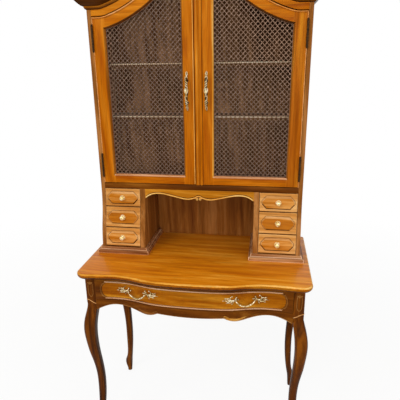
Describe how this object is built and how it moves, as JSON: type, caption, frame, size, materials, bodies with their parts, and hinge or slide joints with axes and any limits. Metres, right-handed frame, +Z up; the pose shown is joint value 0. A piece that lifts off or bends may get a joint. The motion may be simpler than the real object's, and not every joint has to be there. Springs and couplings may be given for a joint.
{
  "type": "bonheur du jour",
  "caption": "Bonheur du jour: serpentine desk on cabriole legs with a long drawer, under an arched cabinet with lattice-grille doors above an open niche flanked by banks of small drawers.",
  "frame": {"origin": "centre of the desk's plan outline on the floor", "axes": "+Z up; -Y towards the person who sits at it; +X to that person's right"},
  "size_m": [0.862, 0.4872, 1.8592],
  "materials": {
    "cherry": "waxed, satin, worn paler on the arrises",
    "dark_cherry": "waxed, satin, darker stain",
    "inside_wood": "stained, matt",
    "gilt_brass": "cast, patinated in the hollows",
    "bronze": "dark patina",
    "bronze_wire": "dark patina, drawn flat wire"
  },
  "bodies": {
    "desk_and_cabinet": {"desk_top": "cherry", "leg_front_left": "dark_cherry", "leg_front_right": "dark_cherry", "leg_rear_left": "dark_cherry", "leg_rear_right": "dark_cherry", "apron_front": "dark_cherry", "apron_left": "dark_cherry", "apron_right": "dark_cherry", "apron_back": "dark_cherry", "drawer_runners": "inside_wood", "side_left": "dark_cherry", "side_right": "dark_cherry", "partition_left": "dark_cherry", "partition_right": "dark_cherry", "cabinet_floor": "inside_wood", "back_panel": "inside_wood", "arched_header": "cherry", "bonnet_top": "inside_wood", "cornice": "dark_cherry", "shelves": "inside_wood", "shelf_pins": "gilt_brass", "niche_valance": "cherry", "plinth_left": "dark_cherry", "plinth_right": "dark_cherry", "dust_boards": "inside_wood", "hinge_case_halves": "bronze", "door_catches": "bronze"},
    "door_left": {"door_left_stiles": "cherry", "door_left_rails": "cherry", "grille_left": "bronze_wire", "handle_left": "gilt_brass", "door_left_hinge_halves": "bronze"},
    "door_right": {"door_right_stiles": "cherry", "door_right_rails": "cherry", "grille_right": "bronze_wire", "handle_right": "gilt_brass", "astragal": "cherry", "door_right_hinge_halves": "bronze"},
    "long_drawer": {"long_drawer_front": "cherry", "long_drawer_box": "inside_wood", "long_drawer_pull_left": "gilt_brass", "long_drawer_pull_right": "gilt_brass"},
    "drawer_left_upper": {"drawer_left_upper_front": "cherry", "drawer_left_upper_tray": "inside_wood", "drawer_left_upper_knob": "gilt_brass"},
    "drawer_left_middle": {"drawer_left_middle_front": "cherry", "drawer_left_middle_tray": "inside_wood", "drawer_left_middle_knob": "gilt_brass"},
    "drawer_left_lower": {"drawer_left_lower_front": "cherry", "drawer_left_lower_tray": "inside_wood", "drawer_left_lower_knob": "gilt_brass"},
    "drawer_right_upper": {"drawer_right_upper_front": "cherry", "drawer_right_upper_tray": "inside_wood", "drawer_right_upper_knob": "gilt_brass"},
    "drawer_right_middle": {"drawer_right_middle_front": "cherry", "drawer_right_middle_tray": "inside_wood", "drawer_right_middle_knob": "gilt_brass"},
    "drawer_right_lower": {"drawer_right_lower_front": "cherry", "drawer_right_lower_tray": "inside_wood", "drawer_right_lower_knob": "gilt_brass"}
  },
  "joints": [
    {"name": "door_left_hinge", "type": "hinge", "parent": "desk_and_cabinet", "child": "door_left", "pos_m": [-0.37175, 0.0196, 1.3], "axis": [0, 0, -1], "range_deg": [0, 110]},
    {"name": "door_right_hinge", "type": "hinge", "parent": "desk_and_cabinet", "child": "door_right", "pos_m": [0.37175, 0.0196, 1.3], "axis": [0, 0, 1], "range_deg": [0, 110]},
    {"name": "long_drawer_slide", "type": "slide", "parent": "desk_and_cabinet", "child": "long_drawer", "axis": [0, -1, 0], "range_m": [0, 0.25]},
    {"name": "drawer_left_upper_slide", "type": "slide", "parent": "desk_and_cabinet", "child": "drawer_left_upper", "axis": [0, -1, 0], "range_m": [0, 0.11]},
    {"name": "drawer_left_middle_slide", "type": "slide", "parent": "desk_and_cabinet", "child": "drawer_left_middle", "axis": [0, -1, 0], "range_m": [0, 0.11]},
    {"name": "drawer_left_lower_slide", "type": "slide", "parent": "desk_and_cabinet", "child": "drawer_left_lower", "axis": [0, -1, 0], "range_m": [0, 0.11]},
    {"name": "drawer_right_upper_slide", "type": "slide", "parent": "desk_and_cabinet", "child": "drawer_right_upper", "axis": [0, -1, 0], "range_m": [0, 0.11]},
    {"name": "drawer_right_middle_slide", "type": "slide", "parent": "desk_and_cabinet", "child": "drawer_right_middle", "axis": [0, -1, 0], "range_m": [0, 0.11]},
    {"name": "drawer_right_lower_slide", "type": "slide", "parent": "desk_and_cabinet", "child": "drawer_right_lower", "axis": [0, -1, 0], "range_m": [0, 0.11]}
  ]
}
